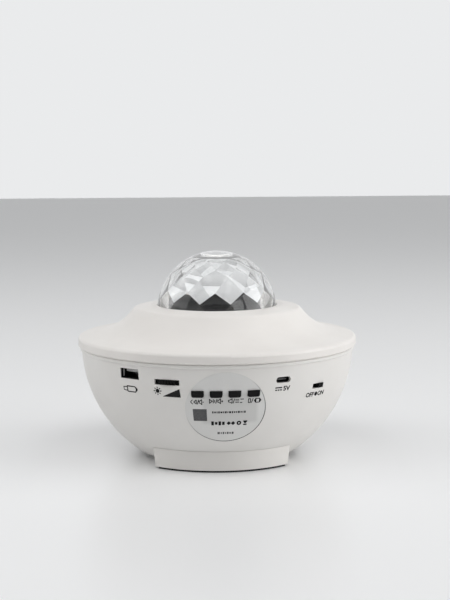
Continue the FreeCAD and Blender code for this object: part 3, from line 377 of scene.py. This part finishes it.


# silver-grey round film: its middle on the leaning wall, a mottled sheen, a darker field in the middle that
# is painted shade, and a painted shadow along its cut edge, darkest on its lower right
film = {
    "middle": (0.00054, -0.07696, 0.0399),
    "lean": 20.76,  # degrees
    "radius": 0.0225,
    # painted shadow: a dark band this wide along the film's edge, fading towards the upper left
    "edgeShadowWidth": 0.0005,
    "shadeTowards": (0.55, -0.83),
    "shadeStart": -0.35,  # in radii along that way
    "shadeEnd": 0.75,
    "lightTone": (0.725, 0.722, 0.708),
    "darkTone": (0.685, 0.682, 0.668),
    "edgeShadowTone": (0.05, 0.05, 0.048),
    "mottleScale": 60,
    "mottleDetail": 4,
    "mottleLow": 0.3,
    "mottleHigh": 0.7,
    # painted shade: a darker field in the middle of the film
    "shadedFieldTone": (0.60, 0.597, 0.585),
    "shadedFieldLeft": -0.0128,  # from the film's middle
    "shadedFieldRight": 0.0178,
    "shadedFieldLow": -0.0092,
    "shadedFieldHigh": 0.0105,
    "shadedFieldFade": 0.0012,
    "grain": 1500,
    "grainDepth": 0.03,
    "gloss": (0.28, 0.36),
    "metallic": 0.15,
}


def labelFoil(name, spec):
    paint, nodes, links, shader = newPaint(name)

    def maths(kind, first, second=0.0):
        return mathsNode(nodes, links, kind, first, second)

    place = nodes.new("ShaderNodeTexCoord").outputs["Object"]
    split = nodes.new("ShaderNodeSeparateXYZ")
    links.new(place, split.inputs["Vector"])
    across, inward, upright = [maths("SUBTRACT", split.outputs[axis], middle)
                               for axis, middle in zip("XYZ", spec["middle"])]
    lean = math.radians(spec["lean"])
    upward = maths("SUBTRACT", maths("MULTIPLY", upright, math.cos(lean)),
                   maths("MULTIPLY", inward, math.sin(lean)))
    reach = maths("SQRT", maths("ADD", maths("MULTIPLY", across, across), maths("MULTIPLY", upward, upward)))
    # painted shadow along the film's edge, darkest on its lower right
    atEdge = maths("GREATER_THAN", reach, spec["radius"] - spec["edgeShadowWidth"])
    towards = maths("ADD", maths("MULTIPLY", across, spec["shadeTowards"][0]),
                    maths("MULTIPLY", upward, spec["shadeTowards"][1]))
    shaded = spreadRange(nodes, links, towards, spec["shadeStart"] * spec["radius"],
                         spec["shadeEnd"] * spec["radius"])
    mottle = addNoise(nodes, links, place, spec["mottleScale"], spec["mottleDetail"])
    sheen = spreadRange(nodes, links, mottle, spec["mottleLow"], spec["mottleHigh"])
    field = blendTones(nodes, links, sheen, spec["lightTone"], spec["darkTone"])
    fade = spec["shadedFieldFade"]
    # painted shade: a darker rectangle in the film's middle, with soft sides
    shadedField = spreadRange(nodes, links, across, spec["shadedFieldLeft"] - fade, spec["shadedFieldLeft"] + fade)
    for measure, start, end in ((across, spec["shadedFieldRight"] + fade, spec["shadedFieldRight"] - fade),
                                (upward, spec["shadedFieldLow"] - fade, spec["shadedFieldLow"] + fade),
                                (upward, spec["shadedFieldHigh"] + fade, spec["shadedFieldHigh"] - fade)):
        shadedField = maths("MULTIPLY", shadedField, spreadRange(nodes, links, measure, start, end))
    field = blendTones(nodes, links, shadedField, field, spec["shadedFieldTone"])
    edged = blendTones(nodes, links, maths("MULTIPLY", atEdge, shaded), field, spec["edgeShadowTone"])
    feedAll(links, shader, {"Base Color": edged, "Metallic": spec["metallic"]})
    addSkin(nodes, links, shader, spec["grain"], spec["grainDepth"], spec["gloss"])
    return paint


# the lamp's board: a white mask with the yellow phosphor of the emitter in its middle
emitter = {"radius": 0.0032, "board": (0.80, 0.80, 0.78), "phosphor": (0.85, 0.62, 0.08)}


def lampBoard(name, spec):
    paint, nodes, links, shader = newPaint(name)
    split = nodes.new("ShaderNodeSeparateXYZ")
    links.new(nodes.new("ShaderNodeTexCoord").outputs["Object"], split.inputs["Vector"])
    squares = [mathsNode(nodes, links, "MULTIPLY", split.outputs[axis], split.outputs[axis]) for axis in "XY"]
    reach = mathsNode(nodes, links, "ADD", *squares)
    inside = mathsNode(nodes, links, "LESS_THAN", reach, spec["radius"] ** 2)
    links.new(blendTones(nodes, links, inside, spec["board"], spec["phosphor"]), shader.inputs["Base Color"])
    addSkin(nodes, links, shader)
    return paint


# moulded finishes: light tone, dark tone, drift, grain, depth of grain, gloss from and to
# painted light: the lid's white is a lighter copy of the housing's white, for the light its top catches; the
# white under the dome shares it
litLidTones = ((0.82, 0.794, 0.764), (0.795, 0.767, 0.736))

finishes = {
    "housing": moulded("housingWhite", (0.80, 0.785, 0.76), (0.775, 0.758, 0.732)),
    "lid": moulded("litLidWhite", *litLidTones),
    # painted light: seen through the dome, this white also glows
    "underDome": moulded("underDomeGlowWhite", *litLidTones, lift=(0.34, 0.335, 0.33)),
    "stand": moulded("standWhite", (0.81, 0.79, 0.76), (0.785, 0.765, 0.735), gloss=(0.42, 0.52)),
    "rubber": moulded("padRubber", (0.012, 0.012, 0.012), (0.02, 0.02, 0.02),
                      200, 1400, 0.2, (0.7, 0.85)),
    "keys": moulded("keyBlack", (0.004, 0.004, 0.0043), (0.006, 0.006, 0.0063),
                    200, 3000, 0.06, (0.48, 0.60), specular=0.15),
    "blackParts": moulded("chassisBlack", (0.008, 0.008, 0.0085), (0.013, 0.013, 0.0135),
                          80, 1800, 0.10, (0.45, 0.60), specular=0.3),
    "film": labelFoil("labelFilm", film),
    "dome": facetedAcrylic("domeAcrylic", domeLook),
    "windowPlate": moulded("windowPlateBlack", (0.006, 0.006, 0.006), (0.009, 0.009, 0.009),
                           80, 1800, 0.10, (0.75, 0.85), specular=0.1),
    "lens": clearAcrylic("lensAcrylic", (0.98, 0.985, 0.99), 0.02, 1.49),
    "nylon": moulded("gearNylon", (0.78, 0.77, 0.72), (0.74, 0.73, 0.68),
                     120, 1600, 0.05, (0.35, 0.5)),
    "steel": moulded("zincSteel", (0.55, 0.56, 0.57), (0.48, 0.49, 0.50),
                     300, 2500, 0.05, (0.25, 0.38), metallic=1.0),
    "darkPlate": moulded("platedShell", (0.05, 0.05, 0.052), (0.03, 0.03, 0.032),
                         300, 2500, 0.04, (0.30, 0.42), metallic=1.0),
    "portTongue": moulded("portTongueGrey", (0.16, 0.16, 0.165), (0.12, 0.12, 0.125),
                          300, 2200, 0.04, (0.35, 0.45)),
    "tongue": moulded("tonguePale", (0.78, 0.78, 0.77), (0.72, 0.72, 0.71),
                      300, 2200, 0.04, (0.30, 0.40)),
    "lampBoard": lampBoard("lampBoard", emitter),
    "brass": moulded("laserBrass", (0.78, 0.58, 0.28), (0.70, 0.50, 0.23),
                     200, 2500, 0.04, (0.2, 0.3), metallic=1.0),
    "aluminium": moulded("plainAluminium", (0.74, 0.75, 0.76), (0.66, 0.67, 0.68),
                         200, 1500, 0.08, (0.3, 0.42), metallic=1.0),
    "board": moulded("boardGreen", (0.02, 0.16, 0.07), (0.012, 0.11, 0.05),
                     120, 900, 0.1, (0.3, 0.4)),
    "chip": moulded("chipEpoxy", (0.02, 0.02, 0.02), (0.03, 0.03, 0.03),
                    300, 2500, 0.15, (0.5, 0.65)),
    "paper": moulded("conePaper", (0.03, 0.03, 0.03), (0.05, 0.05, 0.05),
                     400, 1200, 0.3, (0.75, 0.9)),
    "wire": moulded("wireSleeve", (0.45, 0.02, 0.02), (0.38, 0.015, 0.015),
                    200, 2000, 0.03, (0.35, 0.45)),
    "ink": moulded("printInk", (0.006, 0.006, 0.0065), (0.010, 0.010, 0.0105),
                   900, 3500, 0.03, (0.55, 0.65), specular=0.2),
    "paleInk": moulded("printGreyInk", (0.065, 0.065, 0.068), (0.09, 0.09, 0.093),
                       900, 3500, 0.03, (0.45, 0.55)),
}

nodeFinish = {
    "housing": ["lower_shell"],
    "lid": ["upper_shell"],
    "underDome": ["optics_cover"],
    "stand": ["base_stand"],
    "rubber": ["foot_pads"],
    "keys": ["previous_button", "next_button", "play_button", "light_button",
             "brightness_wheel", "switch_knob"],
    "windowPlate": ["window_plate"],
    "blackParts": ["deck_plate", "lens_holder", "speaker_frame", "pot_body", "tact_switches"],
    "portTongue": ["usb_c_tongue"],
    "tongue": ["usb_a_tongue"],
    "lampBoard": ["led_board"],
    "film": ["label_film"],
    "dome": ["crystal_dome"],
    "lens": ["ripple_disc", "condenser_lens", "diffraction_grating"],
    "nylon": ["grating_wheel", "motor_pinion", "board_connectors"],
    "steel": ["wheel_spindles", "motor_shaft", "drive_motor", "speaker_magnet", "lid_screws", "base_screws",
              "deck_screws", "cover_screws", "board_screws", "motor_screws", "speaker_screws"],
    "darkPlate": ["usb_a_socket", "usb_c_socket", "slide_switch_body"],
    "brass": ["laser_module"],
    "aluminium": ["laser_holder", "led_heatsink"],
    "board": ["main_board"],
    "chip": ["board_chips", "capacitors"],
    "paper": ["speaker_cone", "speaker_surround"],
    "wire": ["motor_lead", "speaker_lead", "led_lead", "laser_lead"],
}


def dressNodes():
    undressed = set(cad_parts)
    for finish, names in nodeFinish.items():
        for name in undressed.intersection(names):
            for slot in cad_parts[name].material_slots:
                slot.material = finishes[finish]
        undressed.difference_update(names)
    for name in sorted(undressed):
        print("no finish for", name)


dressNodes()
print("CAD pieces dressed")


# prints on the rear wall: drawn flat in millimetres, then wrapped onto the bowl
bowl = {
    "arc": 79.1,  # the wall's arc, and the radius and height of its middle
    "centreR": 3.0,
    "centreZ": 67.94,
    "film": 0.12,
    "lift": 0.05,  # how far the ink's face stands off the wall or the film
    "inkDepth": 0.04,
    "grid": 1.0,
}


def bowlRadius(z):
    return bowl["centreR"] + math.sqrt(bowl["arc"] ** 2 - (z - bowl["centreZ"]) ** 2)


def flatShape(points):
    bpy.ops.mesh.primitive_circle_add(vertices=len(points), radius=1, fill_type="NGON", location=(0, 0, 0))
    shape = bpy.context.object
    for corner, (u, v) in zip(shape.data.vertices, points):
        corner.co = (u, v, 0)
    return shape


def flatBar(u, v, width, height):
    return flatShape([(u - width / 2, v - height / 2), (u + width / 2, v - height / 2),
                      (u + width / 2, v + height / 2), (u - width / 2, v + height / 2)])


def ringPoints(u, v, radius, sides):
    turns = [2 * math.pi * k / sides for k in range(sides)]
    return [(u + radius * math.cos(turn), v + radius * math.sin(turn)) for turn in turns]


def flatDisc(u, v, radius, sides=20):
    return flatShape(ringPoints(u, v, radius, sides))


def flatStroke(start, end, width):
    along = Vector((end[0] - start[0], end[1] - start[1]))
    side = Vector((-along.y, along.x)).normalized() * width / 2
    return flatShape([(start[0] - side.x, start[1] - side.y), (end[0] - side.x, end[1] - side.y),
                      (end[0] + side.x, end[1] + side.y), (start[0] + side.x, start[1] + side.y)])


def flatPath(points, width):
    return [flatStroke(start, end, width) for start, end in zip(points, points[1:])]


def flatOutline(points, width):
    # a closed line whose corners are filled
    return flatPath(points + points[:1], width) + [flatDisc(u, v, width / 2, 10) for u, v in points]


lettering = {"boldness": 0.12, "capHeight": 0.70, "curveSteps": 4}


def flatText(words, u, v, width, height):
    bpy.ops.object.text_add(location=(0, 0, 0))
    letters = bpy.context.object
    letters.data.body = words
    letters.data.size = height / lettering["capHeight"]
    letters.data.offset = lettering["boldness"]
    letters.data.resolution_u = lettering["curveSteps"]
    makeActive(letters)
    bpy.ops.object.convert(target="MESH")
    letters = bpy.context.object
    across = [corner.co.x for corner in letters.data.vertices]
    upward = [corner.co.y for corner in letters.data.vertices]
    for corner in letters.data.vertices:
        corner.co.x = u + ((corner.co.x - min(across)) / (max(across) - min(across)) - 0.5) * width
        corner.co.y = v + ((corner.co.y - min(upward)) / (max(upward) - min(upward)) - 0.5) * height
    return letters


def cutIntoGrid(piece, grid):
    # cuts the flat print along a square grid, so that it can follow the bowl
    for axis, normal in ((0, (1, 0, 0)), (1, (0, 1, 0))):
        places = [corner.co[axis] for corner in piece.data.vertices]
        for step in range(math.floor(min(places) / grid) + 1, math.ceil(max(places) / grid)):
            cut = Vector(normal) * step * grid
            editWhole(piece, bpy.ops.mesh.bisect, plane_co=cut, plane_no=normal)


def wrapPrint(shapes, name, azimuth, height, finish, onFilm):
    piece = joinPieces(shapes, name)
    editWhole(piece, bpy.ops.mesh.normals_make_consistent, inside=False)
    if piece.data.polygons[0].normal.z < 0:
        piece.data.flip_normals()
    cutIntoGrid(piece, bowl["grid"])
    editWhole(piece, bpy.ops.mesh.quads_convert_to_tris)
    lift = bowl["lift"] + (bowl["film"] if onFilm else 0)
    for corner in piece.data.vertices:
        z = height + corner.co.y
        turn = math.radians(azimuth) + corner.co.x / bowlRadius(height)
        radius = bowlRadius(z) + lift
        corner.co = (radius * math.sin(turn) * mm, -radius * math.cos(turn) * mm, z * mm)
    applyModifier(piece, "SOLIDIFY", thickness=bowl["inkDepth"] * mm, offset=-1)
    piece.data.materials.clear()
    piece.data.materials.append(finishes[finish])
    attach(piece, "housing")


# signs by the sockets, the wheel and the switch, each drawn about its own middle
def memoryStick():
    plug = [(-5.0, -0.9), (-2.3, -1.1), (-2.3, 1.1), (-5.0, 0.9)]
    body = [(-2.2, -1.6), (3.4, -1.6), (4.6, -0.2), (4.6, 0.4), (3.4, 1.6), (-2.2, 1.6)]
    boldEnd = [(3.0, -1.8), (3.6, -1.8), (5.1, -0.3), (5.1, 0.4), (3.6, 1.8), (3.0, 1.8), (3.9, 0)]
    return flatOutline(plug, 0.5) + flatOutline(body, 0.6) + [flatShape(boldEnd)]


sunRays = {"disc": 1.2, "rays": 8, "start": 1.6, "end": 2.35, "width": 0.6}


def sun():
    shapes = [flatDisc(0, 0, sunRays["disc"])]
    for k in range(sunRays["rays"]):
        turn = 2 * math.pi * k / sunRays["rays"]
        way = Vector((math.cos(turn), math.sin(turn)))
        shapes.append(flatStroke(way * sunRays["start"], way * sunRays["end"], sunRays["width"]))
    return shapes


def wedge():
    return [flatShape([(-5.6, -2.1), (5.3, -2.2), (4.8, 2.75)])]


def supply():
    # one long bar over three short ones means direct current
    shapes = [flatText("5V", 2.6, 0, 4.4, 2.8), flatBar(-2.5, 0.65, 4.2, 0.72)]
    return shapes + [flatBar(u, -0.75, 1.15, 0.72) for u in (-4.05, -2.5, -0.95)]


def power():
    return [flatText("OFF", -4.5, 0, 6.4, 2.75), flatDisc(0.4, 0, 1.25), flatText("ON", 4.8, 0, 5.6, 2.75)]


# signs under the keys: one sign, a slash and another sign
keySign = {
    "stroke": 0.48,
    "slashHeight": 2.7,
    "arrowHeight": 2.4,
    "hornHeight": 2.9,
    "neck": 0.3,  # of the horn's width
    "box": 0.2,  # of the horn's height, up and down
}


def horn(left, right, height=keySign["hornHeight"]):
    # loudspeaker sign: a small box and a horn, drawn as an outline
    neck = left + keySign["neck"] * (right - left)
    box = keySign["box"] * height
    points = [(left, -box), (neck, -box), (right, -height / 2), (right, height / 2), (neck, box), (left, box)]
    return flatOutline(points, keySign["stroke"])


def slash(left, right):
    half = keySign["slashHeight"] / 2
    return [flatStroke((left, -half), (right, half), keySign["stroke"])]


def arrow(tip, base):
    half = keySign["arrowHeight"] / 2
    return flatOutline([(tip, 0), (base, -half), (base, half)], keySign["stroke"])


def previous():
    # back, and less sound
    shapes = flatPath([(-2.4, 1.3), (-3.6, 0), (-2.4, -1.3)], keySign["stroke"]) + arrow(-1.8, -0.35)
    return shapes + slash(0.2, 1.0) + horn(1.3, 2.7) + [flatBar(3.5, 0, 0.7, 0.45)]


def following():
    # on, and more sound
    shapes = arrow(-2.1, -3.6) + [flatBar(-1.5, 0, 0.45, 2.4), flatBar(-0.8, 0, 0.4, 1.6)]
    plus = [flatBar(3.4, 0, 1.0, 0.45), flatBar(3.4, 0, 0.45, 1.2)]
    return shapes + slash(-0.2, 0.6) + horn(1.0, 2.5) + plus


def play():
    lines = [flatBar(0.7, v, 2.2, 0.38) for v in (-0.85, 0, 0.85)]
    ends = [flatBar(3.4, 1.0, 1.9, 0.5), flatBar(2.9, -1.0, 1.3, 0.5)]
    return horn(-4.2, -2.2, 2.6) + slash(-1.6, -0.8) + lines + ends


def light():
    window = [(-3.6, -1.1), (-2.4, -1.1), (-2.4, 1.1), (-3.6, 1.1)]
    hexagon = [(-0.2, 0), (0.6, -1.15), (2.8, -1.15), (3.6, 0), (2.8, 1.15), (0.6, 1.15)]
    ends = [flatShape([(2.5, -1.3), (3.7, 0), (2.5, 1.3)]), flatShape([(0.9, 1.3), (-0.3, 0), (0.9, -1.3)])]
    return flatOutline(window, keySign["stroke"]) + slash(-1.8, -1.0) + flatOutline(hexagon, 0.5) + ends


# on the film: a panel, two lines of blocks and a row of small shapes, none of which means anything
def blockRow(widths, gap, heights):
    blocks = []
    left = -(sum(widths) + gap * (len(widths) - 1)) / 2
    for k, width in enumerate(widths):
        blocks.append(flatBar(left + width / 2, 0, width, heights[k % len(heights)]))
        left += width + gap
    return blocks


def panel():
    return [flatBar(0, 0, 7.7, 7.3)]


def longLine():
    widths = (0.7, 0.9, 0.5, 0.8, 1.1, 0.6, 0.9, 0.5, 1.2, 0.7, 0.8, 0.6, 1.0, 0.7, 0.5, 0.9)
    return blockRow(widths, 0.42, (1.25, 0.95, 1.1))


def shapeRow():
    bars = ((-9.2, 2.5), (-7.2, 1.7), (-5.2, 2.5), (-3.2, 2.1))  # place and height
    shapes = [flatBar(u, 0, 1.45, height) for u, height in bars]
    shapes += [flatDisc(u, 0, 1.25, 4) for u in (-0.2, 2.2)]
    shapes += flatOutline(ringPoints(5.5, 0, 0.95, 8), 0.85)
    shapes += [flatBar(9.0, 1.05, 2.3, 0.65), flatBar(9.0, -1.05, 2.0, 0.8)]
    return shapes + [flatShape([(7.9, 0.7), (9.0, -0.7), (10.1, 0.7)])]


def shortLine():
    return blockRow((1.3, 0.7, 0.9, 0.5, 1.0, 0.8, 1.1), 0.45, (1.4, 1.1))


# name, drawing, azimuth and height of its middle, ink, and whether it is on the film
prints = [
    ("memorySign", memoryStick, -40.7, 49.85, "ink", False),
    ("sunSign", sun, -27.57, 50.4, "ink", False),
    ("dimmerWedge", wedge, -21.6, 49.4, "ink", False),
    ("supplySign", supply, 23.9, 51.05, "ink", False),
    ("powerSign", power, 42.07, 44.95, "ink", False),
    ("previousSign", previous, -11.34, 44.9, "ink", True),
    ("followingSign", following, -3.62, 45.45, "ink", True),
    ("playSign", play, 4.43, 45.45, "ink", True),
    ("lightSign", light, 12.13, 45.3, "ink", True),
    ("filmPanel", panel, -10.4, 37.0, "paleInk", True),
    ("filmLine", longLine, 1.75, 38.75, "ink", True),
    ("filmShapes", shapeRow, 1.97, 31.9, "ink", True),
    ("filmShortLine", shortLine, 0.58, 25.6, "paleInk", True),
]

for name, drawing, azimuth, height, finish, onFilm in prints:
    wrapPrint(drawing(), name, azimuth, height, finish, onFilm)
print("prints wrapped on the bowl")

# pale springs in the side walls of the USB-A mouth, in millimetres
springs = {
    "azimuth": -40.4,  # degrees
    "radius": 78.9,
    "height": 58.7,
    "apart": 6.12,
    "size": (0.25, 0.8, 4.0),
    "edge": 0.08,
    "edgeSteps": 2,
}


def addSpring(spec, side):
    turn = math.radians(spec["azimuth"])
    across = side * spec["apart"]
    place = Vector((spec["radius"] * math.sin(turn) + across * math.cos(turn),
                    across * math.sin(turn) - spec["radius"] * math.cos(turn), spec["height"])) * mm
    deselectAll()
    bpy.ops.mesh.primitive_cube_add(size=1, location=place, rotation=(0, 0, turn))
    strip = bpy.context.object
    strip.scale = Vector(spec["size"]) * mm
    bpy.ops.object.transform_apply(location=True, rotation=True, scale=True)
    applyModifier(strip, "BEVEL", width=spec["edge"] * mm, segments=spec["edgeSteps"])
    return strip


# a ring that carries the neck's top level up to the dome, in millimetres
collar = {
    "profile": (  # radius and height
        (36.3, 87.5), (36.3, 89.9), (36.38, 90.12), (36.6, 90.25), (39.6, 90.27), (38.5, 89.5), (36.9, 88.2)),
    "steps": 240,
    "mergeWithin": 0.001,
}


def addCollar(spec):
    outline = spec["profile"]
    deselectAll()
    bpy.ops.mesh.primitive_circle_add(vertices=len(outline), radius=1, fill_type="NOTHING",
                                      location=(0, 0, 0))
    ring = bpy.context.object
    for corner, (radius, height) in zip(ring.data.vertices, outline):
        corner.co = (radius * mm, 0, height * mm)
    applyModifier(ring, "SCREW", steps=spec["steps"], render_steps=spec["steps"], use_smooth_shade=False,
                  use_merge_vertices=True, merge_threshold=spec["mergeWithin"] * mm)
    editWhole(ring, bpy.ops.mesh.normals_make_consistent, inside=False)
    return ring


trims = [  # name, parts, finish, slot
    ("usbSprings", [addSpring(springs, side) for side in (-1, 1)], "tongue", "steel"),
    # the collar wears the under-dome white, which glows as painted light where it is seen through the dome
    ("domeCollar", [addCollar(collar)], "underDome", "housing_white"),
]

for name, parts, finish, slot in trims:
    piece = joinPieces(parts, name)
    piece.data.materials.clear()
    piece.data.materials.append(finishes[finish])
    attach(piece, "housing")
print("springs and collar placed")
